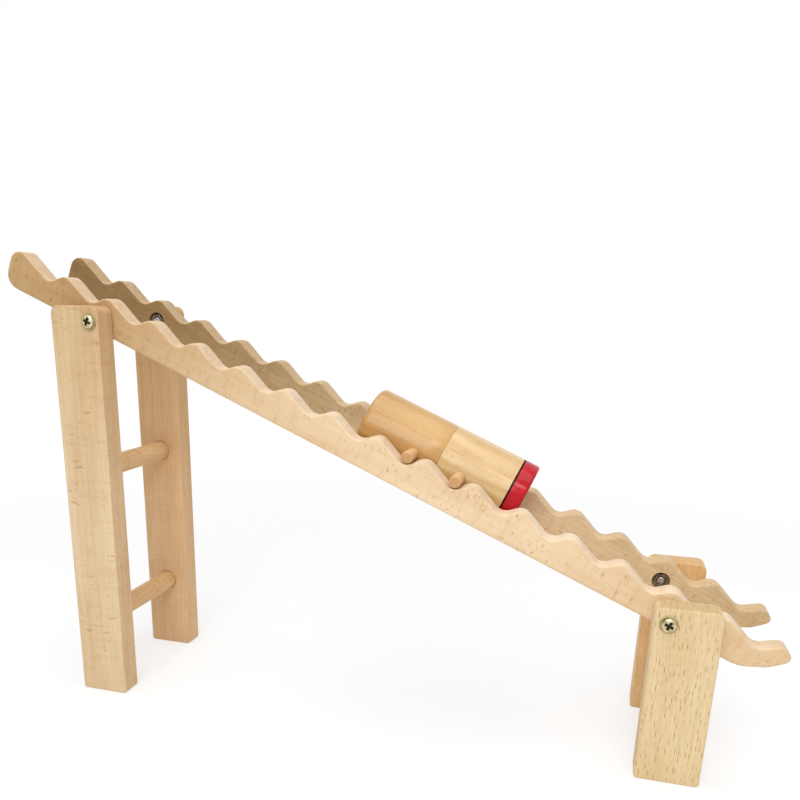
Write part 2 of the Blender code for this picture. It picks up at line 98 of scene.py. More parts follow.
# Fine trim of the scene alone, with shares of the size that each one trims
SEAM_GAP = 0.06 * MM
SEAM_CHAMFER = 0.12 * MM
SEAM_SOFTENING = 0.3 * SEAM_CHAMFER
HEAD_RING_SHARES = (0.62, 0.4, 0.2)
TAIL_RING_SHARES = (0.2, 0.4, 0.62, 0.8)
PEG_CLEARANCE = 0.06 * MM
BOLT_HEAD_CHAMFER = 0.12 * MM
BOLT_LEAD = 0.35 * MM
BOLT_TIP_LENGTH = 0.9 * MM
CROSS_LENGTH = 5.4 * MM
CROSS_WIDTH = 1.7 * MM
CROSS_DEPTH = 1.2 * MM
CROSS_MOUTH_SHARE = 1.1
CROSS_FLOOR_SHARE = 0.62
RECESS_REACH = 0.6 * CROSS_LENGTH
RECESS_MARGIN = 0.1 * MM
WASHER_CHAMFER = 0.15 * MM
NUT_CHAMFER = 0.25 * MM
NUT_CHAMFER_STEPS = 2
NUT_EDGE_ANGLE = math.radians(30.0)

# Painted cap on the clown's head end
CAP_LINE = 1.05 * MM
CAP_EDGE = HEAD_LENGTH - 8.2 * MM
PAINTED_SKIN = 0.98 * CLOWN_RADIUS

JOINTS = {joint["name"]: joint for joint in frame["joints"]}
FLIP_AXIS = Vector(JOINTS["clown_flip"]["pos_m"])
HEADWARD = -Vector(JOINTS["ball_roll"]["axis"]).normalized()
ACROSS = Vector((0.0, 1.0, 0.0))
BELLY = ACROSS.cross(HEADWARD)
UPRIGHT = Vector((0.0, 0.0, 1.0))
ALONG = Vector((1.0, 0.0, 0.0))
SIDES = {"near": -1.0, "far": 1.0}


def frame_matrix(origin, x_axis, y_axis, z_axis):
    """Local to world, for a piece drawn round its own axes."""
    turn = Matrix((x_axis, y_axis, z_axis)).transposed().to_4x4()
    return Matrix.Translation(origin) @ turn


CLOWN_FRAME = frame_matrix(FLIP_AXIS - HEADWARD * PEG_SPACING / 2.0, BELLY, ACROSS, HEADWARD)


def linear(red, green, blue):
    """A shader colour from eight-bit display values."""
    channels = []
    for value in (red, green, blue):
        share = value / 255.0
        channels.append(share / 12.92 if share <= 0.04045 else ((share + 0.055) / 1.055) ** 2.4)
    return (*channels, 1.0)


def dimmed(colour, tone):
    """A display colour as a shader colour, with its lightness times TONE."""
    return (*[channel * tone for channel in linear(*colour)[:3]], 1.0)


# Shader helpers

Texture = namedtuple("Texture", "stretch detail roughness")


def add_node(tree, kind, inputs=None, **settings):
    node = tree.nodes.new(kind)
    for key, value in settings.items():
        setattr(node, key, value)
    for socket, value in (inputs or {}).items():
        if isinstance(value, bpy.types.NodeSocket):
            tree.links.new(value, node.inputs[socket])
        else:
            node.inputs[socket].default_value = value
    return node


def maths(tree, operation, *values):
    return add_node(tree, "ShaderNodeMath", dict(enumerate(values)), operation=operation).outputs[0]


def vector_maths(tree, operation, first, second):
    node = add_node(tree, "ShaderNodeVectorMath", {0: first, 1: second}, operation=operation)
    return node.outputs["Value" if operation == "DOT_PRODUCT" else "Vector"]


def length_of(tree, vector):
    return add_node(tree, "ShaderNodeVectorMath", {0: vector}, operation="LENGTH").outputs["Value"]


def ramp(tree, value, low, high, to_low=0.0, to_high=1.0):
    """A smooth step of VALUE from LOW to HIGH."""
    node = add_node(
        tree,
        "ShaderNodeMapRange",
        {"Value": value, "From Min": low, "From Max": high, "To Min": to_low, "To Max": to_high},
        interpolation_type="SMOOTHSTEP",
    )
    return node.outputs["Result"]


def noise(tree, vector, texture, output="Fac"):
    scaled = vector_maths(tree, "MULTIPLY", vector, texture.stretch)
    node = add_node(
        tree,
        "ShaderNodeTexNoise",
        {"Vector": scaled, "Scale": 1.0, "Detail": texture.detail, "Roughness": texture.roughness},
    )
    return node.outputs[output]


def blend(tree, share, first, second, blend_type="MIX"):
    node = add_node(
        tree,
        "ShaderNodeMix",
        {0: share, 6: first, 7: second},
        data_type="RGBA",
        blend_type=blend_type,
    )
    return node.outputs[2]


def bump(tree, height, distance, strength):
    node = add_node(
        tree, "ShaderNodeBump", {"Height": height, "Distance": distance, "Strength": strength},
    )
    return node.outputs["Normal"]


def new_material(name):
    material = bpy.data.materials.new(name)
    material.use_nodes = True
    return material, material.node_tree, material.node_tree.nodes["Principled BSDF"]


def finish_surface(tree, shader, colour, roughness, normal):
    tree.links.new(colour, shader.inputs["Base Color"])
    tree.links.new(roughness, shader.inputs["Roughness"])
    tree.links.new(normal, shader.inputs["Normal"])


def lacquer(shader, coat, coat_roughness, gloss):
    shader.inputs["Coat Weight"].default_value = coat
    shader.inputs["Coat Roughness"].default_value = coat_roughness
    shader.inputs["Specular IOR Level"].default_value = gloss


def grain_space(tree, along, radial, offset=(0.0, 0.0, 0.0)):
    """Object coordinates turned so that X follows the grain and Z leads away from the heart."""
    turn = Matrix((along, radial.cross(along), radial))
    mapping = add_node(
        tree,
        "ShaderNodeMapping",
        {
            "Vector": add_node(tree, "ShaderNodeTexCoord").outputs["Object"],
            "Location": offset,
            "Rotation": turn.to_euler("XYZ"),
        },
    )
    return mapping.outputs["Vector"]


def facing(tree, direction):
    """How far the surface faces DIRECTION, from minus one to one."""
    normal = add_node(tree, "ShaderNodeTexCoord").outputs["Normal"]
    return vector_maths(tree, "DOT_PRODUCT", normal, tuple(direction))


# Beech: the heart lies off the board, and the rays run from it to the bark

Marks = namedtuple("Marks", "cell half clustered side_share")
Look = namedtuple("Look", "roughness coat gloss")
Drift = namedtuple("Drift", "start end tint near_share rest_share")

HEART_OFFSET = (0.0, 0.031, 0.066)
RING_SPACING = 3.4 * MM
RING_WANDER = 9.0
RING_SHARE = 0.15
WARM_SHARE = 0.75
CLOUD = Texture((9.0, 55.0, 55.0), 3.0, 0.55)
CLOUD_BAND = (0.3, 0.72)
WANDER = Texture((14.0, 60.0, 60.0), 2.0, 0.5)
STREAK = Texture((22.0, 320.0, 320.0), 2.0, 0.5)
STREAK_BAND = (0.35, 0.7)
STREAK_SHARE = 0.22
FIGURE = Texture((260.0, 90.0, 45.0), 2.0, 0.5)
FIGURE_BAND = (0.48, 0.72)
FIGURE_SHARE = 0.4
FIBRE = Texture((60.0, 1150.0, 1150.0), 3.0, 0.6)
FIBRE_BAND = (0.3, 0.7)
FIBRE_TONES = (0.93, 1.03)
FIBRE_ROUGHNESS = 0.16
WOBBLE = Texture((190.0, 190.0, 190.0), 1.0, 0.5)
WOBBLE_REACH = (4.5 * MM, 2.0 * MM, 4.5 * MM)
CLUSTER = Texture((70.0, 70.0, 110.0), 1.0, 0.5)
CLUSTER_BAND = (0.42, 0.58)
CLUSTER_LEAST = 0.25
RAY_SCATTER = 0.9
RAY_PICK_BAND = (0.15, 0.75)
RAY_LEAST = 0.25
RAY_SOFTNESS = 0.6
CLUSTER_SOFTNESS = 0.85
SPECK_CELL = (2.9 * MM, 1.2 * MM, 4.0 * MM)
SPECK_HALF = (0.75 * MM, 0.11 * MM, 1.4 * MM)
SPECK_SOFTNESS = 0.7
SPECK_SHARE = 0.55
MARK_ROUGHNESS = 0.1
MARK_DEPTH = 0.8
FACE_BAND = (0.5, 0.9)
END_BAND = (0.55, 0.95)
END_WARMTH = 0.45
END_GRAIN_BAND = (0.7, 0.98)
END_GRAIN = (0.83, 0.80, 0.76, 1.0)
RELIEF = 0.03 * MM
WOOD_BUMP = 0.35
WOOD_COAT_ROUGHNESS = 0.2

# Kinds of flecks
DASHED = Marks((4.8 * MM, 2.5 * MM, 8.5 * MM), (2.5 * MM, 0.2 * MM, 8.0 * MM), False, 0.15)
RIPPLED = Marks((3.6 * MM, 2.6 * MM, 12.0 * MM), (0.65 * MM, 0.9 * MM, 6.0 * MM), True, 1.0)
FLECKED = Marks((2.6 * MM, 1.6 * MM, 3.6 * MM), (0.95 * MM, 0.6 * MM, 1.9 * MM), True, 1.0)

# Tints of the drifts, and a stretch that ends before any board starts
# A darker tint: painted shade on the rear legs' upper parts and on the near rail's toe
DARKER = (0.80, 0.71, 0.57, 1.0)
# Painted shade: the near rail darker towards its upper end, where the light falls off
PAINTED_FALLOFF_SHADE = (0.62, 0.53, 0.38, 1.0)
# Painted shade: a brown tint on the far rail's inner face, growing towards its upper end
PAINTED_SHADE_BROWN = (0.48, 0.42, 0.32, 1.0)
# Painted shade, deeper still near the far rail's upper end
DEEPER_PAINTED_SHADE = (0.86, 0.80, 0.72, 1.0)
# Painted shade: a warmer, darker tint on the near rear leg's faces other than its near face
PAINTED_SIDE_SHADE = (1.0, 0.93, 0.87, 1.0)
# Painted sheen: a paler, cooler tint on the near rail's faces other than its near face
PAINTED_SHEEN_TINT = (0.94, 0.97, 1.07, 1.0)
# Painted light: a lighter tint on those faces, towards the near rail's lower end
PAINTED_LIGHT_TINT = (1.07, 1.09, 1.10, 1.0)
EVERYWHERE = (-1.0, -0.9)


def rays(tree, grain, cell, half, softness):
    """Beech rays: thin spindles along the grain, deep from bark to heart."""
    scaled = vector_maths(tree, "MULTIPLY", grain, tuple(1.0 / size for size in cell))
    cells = add_node(
        tree,
        "ShaderNodeTexVoronoi",
        {"Vector": scaled, "Scale": 1.0, "Randomness": RAY_SCATTER},
        feature="F1",
    )
    local = vector_maths(tree, "SUBTRACT", scaled, cells.outputs["Position"])
    shape = tuple(size / reach for size, reach in zip(cell, half))
    distance = length_of(tree, vector_maths(tree, "MULTIPLY", local, shape))
    mark = ramp(tree, distance, 1.0, 1.0 - softness)
    pick = add_node(tree, "ShaderNodeSeparateColor", {"Color": cells.outputs["Color"]}).outputs[0]
    return maths(tree, "MULTIPLY", mark, ramp(tree, pick, *RAY_PICK_BAND, RAY_LEAST, 1.0))


def wobbled(tree, grain):
    """Grain that curls a little, so that what is drawn in it is uneven."""
    centred = vector_maths(tree, "SUBTRACT", noise(tree, grain, WOBBLE, "Color"), (0.5, 0.5, 0.5))
    return vector_maths(tree, "ADD", grain, vector_maths(tree, "MULTIPLY", centred, WOBBLE_REACH))


def growth_rings(tree, grain):
    """A wave round the heart, from nought to one."""
    heart = vector_maths(tree, "ADD", grain, HEART_OFFSET)
    from_heart = length_of(tree, vector_maths(tree, "MULTIPLY", heart, (0.0, 1.0, 1.0)))
    turns = maths(tree, "MULTIPLY", from_heart, 2.0 * math.pi / RING_SPACING)
    phase = maths(tree, "MULTIPLY_ADD", noise(tree, grain, WANDER), RING_WANDER, turns)
    return maths(tree, "MULTIPLY_ADD", maths(tree, "SINE", phase), 0.5, 0.5)


def flecks_and_specks(tree, grain, marks, side_on):
    """Large flecks of the kind that MARKS gives, and fine specks between them."""
    if marks.clustered:
        flecks = rays(tree, wobbled(tree, grain), marks.cell, marks.half, CLUSTER_SOFTNESS)
        patches = ramp(tree, noise(tree, grain, CLUSTER), *CLUSTER_BAND, CLUSTER_LEAST, 1.0)
        flecks = maths(tree, "MULTIPLY", flecks, patches)
    else:
        flecks = rays(tree, grain, marks.cell, marks.half, RAY_SOFTNESS)
    flecks = maths(tree, "MULTIPLY", flecks, ramp(tree, side_on, *FACE_BAND, 1.0, marks.side_share))
    specks = rays(tree, grain, SPECK_CELL, SPECK_HALF, SPECK_SOFTNESS)
    return maths(tree, "MAXIMUM", flecks, maths(tree, "MULTIPLY", specks, SPECK_SHARE))


def beech(
    name, along, radial, colours, tone, mark_share, marks, look, offset=(0.0, 0.0, 0.0),
    ring_share=RING_SHARE, figure_share=FIGURE_SHARE, fibre_tones=FIBRE_TONES, drifts=(),
):
    """Lacquered beech with growth rings, fibre streaks and rays.

    COLOURS are those of pale wood, warm wood and flecks, all dimmed by TONE. Each of DRIFTS tints the board
    from START to END along the grain, by one share on the near face and by another on the rest.
    """
    pale, warm, fleck = (dimmed(colour, tone) for colour in colours)
    material, tree, shader = new_material(name)
    grain = grain_space(tree, along, radial, offset)
    place = add_node(tree, "ShaderNodeSeparateXYZ", {0: grain}).outputs[0]
    end_on = maths(tree, "ABSOLUTE", facing(tree, along))
    face_on = facing(tree, radial.cross(along))
    fibre = noise(tree, grain, FIBRE)
    mark = flecks_and_specks(tree, grain, marks, maths(tree, "ABSOLUTE", face_on))

    clouds = ramp(tree, noise(tree, grain, CLOUD), *CLOUD_BAND, 0.0, WARM_SHARE - ring_share)
    streaks = ramp(tree, noise(tree, grain, STREAK), *STREAK_BAND, 0.0, STREAK_SHARE)
    figure = ramp(tree, noise(tree, grain, FIGURE), *FIGURE_BAND, 0.0, figure_share)
    warmth = maths(tree, "MULTIPLY_ADD", growth_rings(tree, grain), ring_share, clouds)
    warmth = maths(tree, "ADD", maths(tree, "ADD", warmth, streaks), figure)
    colour = blend(tree, warmth, pale, warm)
    fibre_tone = ramp(tree, fibre, *FIBRE_BAND, *fibre_tones)
    fibre_tint = add_node(tree, "ShaderNodeCombineColor", {channel: fibre_tone for channel in range(3)})
    colour = blend(tree, 1.0, colour, fibre_tint.outputs["Color"], "MULTIPLY")
    colour = blend(tree, maths(tree, "MULTIPLY", mark, mark_share), colour, fleck)
    colour = blend(tree, ramp(tree, end_on, *END_BAND, 0.0, END_WARMTH), colour, warm)
    colour = blend(tree, ramp(tree, end_on, *END_GRAIN_BAND), colour, END_GRAIN, "MULTIPLY")
    for drift in drifts:
        reach = ramp(tree, face_on, *FACE_BAND, drift.rest_share, drift.near_share)
        share = maths(tree, "MULTIPLY", ramp(tree, place, drift.start, drift.end), reach)
        colour = blend(tree, share, colour, drift.tint, "MULTIPLY")

    rough = maths(tree, "MULTIPLY_ADD", fibre, FIBRE_ROUGHNESS, look.roughness - FIBRE_ROUGHNESS / 2.0)
    rough = maths(tree, "MULTIPLY_ADD", mark, MARK_ROUGHNESS, rough)
    height = maths(tree, "SUBTRACT", fibre, maths(tree, "MULTIPLY", mark, MARK_DEPTH))
    finish_surface(tree, shader, colour, rough, bump(tree, height, RELIEF, WOOD_BUMP))
    lacquer(shader, look.coat, WOOD_COAT_ROUGHNESS, look.gloss)
    return material


# Paint and plated steel

PAINT_CLOUD = Texture((120.0, 160.0, 160.0), 3.0, 0.55)
PAINT_CLOUD_SHARE = 0.65
PAINT_FIBRE = Texture((90.0, 1300.0, 1300.0), 2.0, 0.5)
PAINT_FIBRE_SHARE = 0.35
PAINT_BAND = (0.35, 0.65)
PAINT_ROUGHNESS = 0.14
PAINT_BUMP = 0.25
PAINT_COAT_ROUGHNESS = 0.12
PAINT_GLOSS = 0.05
BLOOM = Texture((420.0, 420.0, 420.0), 3.0, 0.6)
BLOOM_BAND = (0.38, 0.66)
BLOOM_ROUGHNESS = 0.25
BLOOM_SHEEN = 0.1
SCRATCH = Texture((900.0, 4200.0, 900.0), 2.0, 0.5)
SCRATCH_RELIEF = 0.01 * MM
SCRATCH_BUMP = 0.3


def paint(name, colour, shade, roughness, coat):
    """Brushed-on colour: a little uneven, with the clown's grain showing through as fine ridges."""
    material, tree, shader = new_material(name)
    grain = grain_space(tree, HEADWARD, BELLY)
    cloud = noise(tree, grain, PAINT_CLOUD)
    fibre = noise(tree, grain, PAINT_FIBRE)
    clouds = maths(tree, "MULTIPLY", cloud, PAINT_CLOUD_SHARE)
    tone = maths(tree, "MULTIPLY_ADD", fibre, PAINT_FIBRE_SHARE, clouds)
    mixed = blend(tree, ramp(tree, tone, *PAINT_BAND), linear(*shade), linear(*colour))
    rough = maths(tree, "MULTIPLY_ADD", cloud, PAINT_ROUGHNESS, roughness - PAINT_ROUGHNESS / 2.0)
    finish_surface(tree, shader, mixed, rough, bump(tree, fibre, RELIEF, PAINT_BUMP))
    lacquer(shader, coat, PAINT_COAT_ROUGHNESS, PAINT_GLOSS)
    return material


def plated(name, colour, stain, roughness):
    """Plated steel with faint turning marks and a stained bloom."""
    material, tree, shader = new_material(name)
    coordinates = add_node(tree, "ShaderNodeTexCoord").outputs["Object"]
    bloom = noise(tree, coordinates, BLOOM)
    mixed = blend(tree, ramp(tree, bloom, *BLOOM_BAND), linear(*colour), linear(*stain))
    rough = maths(tree, "MULTIPLY_ADD", bloom, BLOOM_ROUGHNESS, roughness - BLOOM_SHEEN)
    scratches = bump(tree, noise(tree, coordinates, SCRATCH), SCRATCH_RELIEF, SCRATCH_BUMP)
    finish_surface(tree, shader, mixed, rough, scratches)
    shader.inputs["Metallic"].default_value = 1.0
    return material


# Materials

WOODS = {
    # Near rail: painted shade darkens its upper end and its toe, and painted light and painted sheen lighten
    # its top faces
    "rail_near": beech(
        "near_rail_beech", HEADWARD, BELLY,
        colours=((241, 215, 178), (226, 190, 147), (190, 150, 112)), tone=0.905,
        mark_share=0.7, marks=FLECKED, look=Look(0.5, 0.08, 0.2),
        ring_share=0.05, fibre_tones=(0.975, 1.015),
        drifts=(
            Drift(-0.055, -0.275, PAINTED_FALLOFF_SHADE, 1.0, 0.35),
            Drift(0.10, 0.24, DARKER, 1.0, 0.7),
            Drift(*EVERYWHERE, PAINTED_SHEEN_TINT, 0.0, 1.0),
            Drift(-0.05, 0.06, PAINTED_LIGHT_TINT, 0.0, 1.0),
        ),
    ),
    # Far rail: a darker board, partly its own tone and partly painted shade; painted shade browns its inner
    # face, deepest towards the upper end
    "rail_far": beech(
        "far_rail_beech", HEADWARD, BELLY,
        colours=((236, 208, 166), (222, 188, 142), (180, 140, 98)), tone=0.83,
        mark_share=0.6, marks=FLECKED, look=Look(0.52, 0.08, 0.2), offset=(0.07, 0.0, 0.003),
        ring_share=0.05, fibre_tones=(0.86, 1.05),
        drifts=(
            Drift(0.125, -0.18, PAINTED_SHADE_BROWN, 1.0, 0.45),
            Drift(-0.11, -0.18, DEEPER_PAINTED_SHADE, 1.0, 0.3),
            Drift(0.17, 0.29, DARKER, 1.0, 0.7),
        ),
    ),
    # Near rear leg: painted shade darkens it towards the top and warms the faces beside its near face
    "rear_leg_near": beech(
        "near_rear_leg_beech", UPRIGHT, ALONG,
        colours=((240, 215, 177), (225, 191, 149), (178, 132, 92)), tone=0.84,
        mark_share=0.66, marks=RIPPLED, look=Look(0.55, 0.0, 0.05), figure_share=0.28,
        drifts=(Drift(0.10, 0.31, DARKER, 1.0, 1.0), Drift(*EVERYWHERE, PAINTED_SIDE_SHADE, 0.0, 1.0)),
    ),
    # Far rear leg: warmer, deeper colours paint the warm shade it stands in, and painted shade darkens it
    # towards the top
    "rear_leg_far": beech(
        "far_rear_leg_beech", UPRIGHT, ALONG,
        colours=((227, 192, 149), (212, 172, 126), (172, 122, 80)), tone=0.97,
        mark_share=0.2, marks=RIPPLED, look=Look(0.55, 0.0, 0.1), offset=(0.0, 0.017, 0.005),
        figure_share=0.2, drifts=(Drift(0.10, 0.30, DARKER, 1.0, 1.0),),
    ),
    "front_leg_near": beech(
        "near_front_leg_beech", UPRIGHT, ACROSS,
        colours=((241, 217, 173), (230, 199, 149), (154, 108, 68)), tone=0.85,
        mark_share=0.92, marks=DASHED, look=Look(0.55, 0.0, 0.05), figure_share=0.2,
    ),
    # Far front leg: warmer, deeper colours paint the warm shade it stands in
    "front_leg_far": beech(
        "far_front_leg_beech", UPRIGHT, ACROSS,
        colours=((240, 200, 146), (228, 182, 124), (160, 108, 66)), tone=0.90,
        mark_share=0.75, marks=DASHED, look=Look(0.48, 0.08, 0.2), offset=(0.021, 0.0, 0.0),
        figure_share=0.2,
    ),
    "rung": beech(
        "rung_beech", ACROSS, UPRIGHT,
        colours=((231, 195, 146), (215, 172, 121), (170, 122, 80)), tone=0.95,
        mark_share=0.6, marks=FLECKED, look=Look(0.5, 0.03, 0.2),
    ),
    "peg": beech(
        "peg_beech", ACROSS, UPRIGHT,
        colours=((236, 192, 142), (218, 167, 116), (164, 112, 70)), tone=0.90,
        mark_share=0.7, marks=FLECKED, look=Look(0.5, 0.03, 0.2), offset=(0.011, 0.02, 0.0),
    ),
    "head": beech(
        "head_beech", HEADWARD, BELLY,
        colours=((249, 219, 160), (228, 178, 108), (196, 142, 80)), tone=0.71,
        mark_share=0.4, marks=FLECKED, look=Look(0.46, 0.6, 0.2), offset=(0.0, 0.013, 0.024),
        ring_share=0.42, figure_share=0.1,
    ),
    "tail": beech(
        "tail_beech", HEADWARD, BELLY,
        colours=((226, 182, 112), (210, 154, 84), (178, 116, 56)), tone=0.78,
        mark_share=0.3, marks=FLECKED, look=Look(0.4, 0.6, 0.2), offset=(0.04, 0.035, 0.01),
        ring_share=0.36, figure_share=0.1, drifts=(Drift(0.012, -0.06, DARKER, 1.0, 1.0),),
    ),
}
CAP_RED = paint("cap_red", (190, 20, 34), (170, 11, 24), 0.28, 0.35)
LINE_BLACK = paint("line_black", (24, 20, 20), (14, 12, 12), 0.5, 0.05)
BOLT_ZINC = plated("bolt_zinc_plate", (222, 211, 174), (156, 144, 102), 0.24)
BOLT_END_ZINC = plated("bolt_end_zinc", (204, 200, 194), (158, 152, 144), 0.3)
# Painted shade: a dark plate for the faces inside the bolt heads' cross recesses
RECESS_PAINTED_SHADE = plated("bolt_recess_painted_shade", (92, 82, 60), (60, 52, 38), 0.45)
WASHER_ZINC = plated("washer_zinc_plate", (186, 172, 132), (148, 136, 96), 0.4)
NUT_ZINC = plated("nut_dull_zinc", (126, 117, 102), (86, 78, 66), 0.36)
BALL_STEEL = plated("ball_polished_steel", (205, 207, 210), (188, 190, 194), 0.16)
INKS = {
    "black": paint("ink_black", (38, 33, 34), (26, 22, 23), 0.42, 0.1),
    "white": paint("ink_white", (248, 244, 234), (238, 230, 214), 0.42, 0.1),
    "red": paint("ink_red", (210, 44, 56), (192, 34, 46), 0.4, 0.15),
    "pink": paint("ink_pink", (232, 132, 116), (224, 118, 100), 0.42, 0.1),
    "purple": paint("ink_purple", (112, 84, 168), (98, 72, 152), 0.4, 0.15),
    "yellow": paint("ink_yellow", (246, 222, 58), (236, 206, 46), 0.4, 0.15),
}


# Mesh helpers


def new_piece(name, mesh, body, slot, materials, *nodes):
    piece = bpy.data.objects.new(name, mesh)
    bpy.context.scene.collection.objects.link(piece)
    for material in materials:
        mesh.materials.append(material)
    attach(piece, body)
    if nodes:
        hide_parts(*nodes)
    return piece


def mesh_from(solid, name):
    """A mesh with the faces of SOLID, which is freed."""
    mesh = bpy.data.meshes.new(name)
    solid.to_mesh(mesh)
    solid.free()
    return mesh


def smooth(mesh, angle=SHARP_ANGLE):
    mesh.shade_smooth()
    mesh.set_sharp_from_angle(angle=angle)


def rim(radius, height, rounding):
    """Points of a rounded rim, from the end face at HEIGHT to the side at RADIUS."""
    return [
        (radius - rounding + rounding * math.sin(angle), height - rounding + rounding * math.cos(angle))
        for angle in QUARTER_TURN
    ]


def turned_over(points):
    """The mirror image of a profile, so that it still runs downwards."""
    return [(radius, -height) for radius, height in reversed(points)]


def turned(name, profile, sides, place, closed=False):
    """A turned piece from (radius, height) points, drawn round Z and moved by PLACE."""
    solid = bmesh.new()
    rings = []
    for radius, height in profile:
        if radius < WELD:
            rings.append([solid.verts.new((0.0, 0.0, height))])
            continue
        ring = []
        for step in range(sides):
            angle = 2.0 * math.pi * step / sides
            ring.append(solid.verts.new((radius * math.cos(angle), radius * math.sin(angle), height)))
        rings.append(ring)
    pairs = list(zip(rings, rings[1:]))
    if closed:
        pairs.append((rings[-1], rings[0]))
    for upper, lower in pairs:
        for step in range(sides):
            after = (step + 1) % sides
            if len(upper) == 1:
                solid.faces.new((upper[0], lower[step], lower[after]))
            elif len(lower) == 1:
                solid.faces.new((upper[step], lower[0], upper[after]))
            else:
                solid.faces.new((upper[step], lower[step], lower[after], upper[after]))
    bmesh.ops.recalc_face_normals(solid, faces=solid.faces)
    solid.transform(place)
    mesh = mesh_from(solid, name)
    smooth(mesh)
    return mesh


def without(mesh, cutters):
    """MESH with the CUTTERS taken away, all meshes in world places."""
    subject = bpy.data.objects.new(mesh.name, mesh)
    helpers = [subject]
    bpy.context.scene.collection.objects.link(subject)
    for cutter in cutters:
        helper = bpy.data.objects.new(cutter.name, cutter)
        bpy.context.scene.collection.objects.link(helper)
        helpers.append(helper)
        boolean = subject.modifiers.new(cutter.name, "BOOLEAN")
        boolean.operation = "DIFFERENCE"
        boolean.object = helper
    graph = bpy.context.evaluated_depsgraph_get()
    result = bpy.data.meshes.new_from_object(subject.evaluated_get(graph))
    result.name = mesh.name
    result.materials.clear()
    for helper in helpers:
        bpy.data.objects.remove(helper)
    smooth(result)
    return result


def welded_copy(node, name):
    """A node's own mesh with its seams closed, ready for smooth shading."""
    solid = bmesh.new()
    solid.from_mesh(frame["nodes"][node].data)
    bmesh.ops.remove_doubles(solid, verts=solid.verts, dist=WELD)
    mesh = mesh_from(solid, name)
    stored_normals = mesh.attributes.get("custom_normal")
    if stored_normals:
        mesh.attributes.remove(stored_normals)
    mesh.materials.clear()
    for face in mesh.polygons:
        face.material_index = 0
    return mesh


# Boards keep the outline of the solids

BOARDS = {
    "rail": ("rails", "rail_wood"),
    "rear_leg": ("rear_legs", "leg_wood"),
    "front_leg": ("front_legs", "leg_wood"),
}


def build_boards():
    for side in SIDES:
        for board, (body, slot) in BOARDS.items():
            node = f"{board}_{side}"
            mesh = welded_copy(node, f"{node}_board")
            smooth(mesh, BOARD_SHARP_ANGLE)
            piece = new_piece(f"{node}_board", mesh, body, slot, [WOODS[node]], node)
            normals = piece.modifiers.new("even_shading", "WEIGHTED_NORMAL")
            normals.mode = "FACE_AREA"
            normals.weight = BOARD_SHADING_WEIGHT
            normals.keep_sharp = True


def build_rungs():
    tip = [(0.0, RUNG_HALF), *rim(RUNG_RADIUS, RUNG_HALF, RUNG_ROUND)]
    profile = [*tip, *turned_over(tip)]
    for end in ("rear", "front"):
        for level in ("upper", "lower"):
            node = f"{end}_{level}_rung"
            low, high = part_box(node)
            place = frame_matrix((low + high) / 2.0, ALONG, -UPRIGHT, ACROSS)
            mesh = turned(f"{node}_dowel", profile, DOWEL_SIDES, place)
            new_piece(f"{node}_dowel", mesh, f"{end}_legs", "rung_wood", [WOODS["rung"]], node)


# Washers, bolts and nuts, with the bolts drawn from the seat of their heads

# The plated head, painted shade in its cross recess, and the tip
BOLT_FINISHES_AND_SHADE = [BOLT_ZINC, RECESS_PAINTED_SHADE, BOLT_END_ZINC]
PLATE, RECESS, TIP = range(len(BOLT_FINISHES_AND_SHADE))


def bolt_profile():
    end = BOLT_END - BOLT_SEAT
    return [
        *[
            (BOLT_HEAD_RADIUS * math.sin(angle), BOLT_SHOULDER + BOLT_DOME * math.cos(angle))
            for angle in QUARTER_TURN
        ],
        (BOLT_HEAD_RADIUS, BOLT_HEAD_CHAMFER),
        (BOLT_HEAD_RADIUS - BOLT_HEAD_CHAMFER, 0.0),
        (BOLT_RADIUS, 0.0),
        (BOLT_RADIUS, end + BOLT_LEAD),
        (BOLT_RADIUS - BOLT_LEAD, end),
        (0.0, end),
    ]


def cross_cutter(name, place):
    """A plus that narrows towards its floor, as a driver bit does."""
    solid = bmesh.new()
    loops = []
    for height, share in ((CROSS_DEPTH, CROSS_MOUTH_SHARE), (-CROSS_DEPTH, CROSS_FLOOR_SHARE)):
        arm = CROSS_LENGTH / 2.0 * share
        half = CROSS_WIDTH / 2.0 * share
        loop = []
        for quarter in range(4):
            turn = Matrix.Rotation(quarter * math.pi / 2.0, 2)
            for x, y in ((arm, -half), (arm, half), (half, half)):
                spot = turn @ Vector((x, y))
                loop.append(solid.verts.new((spot.x, spot.y, height)))
        loops.append(loop)
    upper, lower = loops
    solid.faces.new(upper)
    solid.faces.new(list(reversed(lower)))
    for index in range(len(upper)):
        after = (index + 1) % len(upper)
        solid.faces.new((upper[index], lower[index], lower[after], upper[after]))
    bmesh.ops.recalc_face_normals(solid, faces=solid.faces)
    solid.transform(place)
    return mesh_from(solid, name)


def shade_and_finish_bolt(mesh, place):
    """Give the cross recess, which lies below the dome, a painted shade, and the bolt's tip its own finish.
    """
    to_local = place.inverted()
    tip_top = BOLT_END - BOLT_SEAT + BOLT_TIP_LENGTH
    for face in mesh.polygons:
        centre = to_local @ face.center
        share = min(Vector((centre.x, centre.y)).length / BOLT_HEAD_RADIUS, 1.0)
        dome = BOLT_SHOULDER + BOLT_DOME * math.sqrt(1.0 - share ** 2)
        inside = share * BOLT_HEAD_RADIUS < RECESS_REACH and centre.z > 0.0
        if inside and centre.z < dome - RECESS_MARGIN:
            face.material_index = RECESS
        elif centre.z < tip_top:
            face.material_index = TIP
        else:
            face.material_index = PLATE


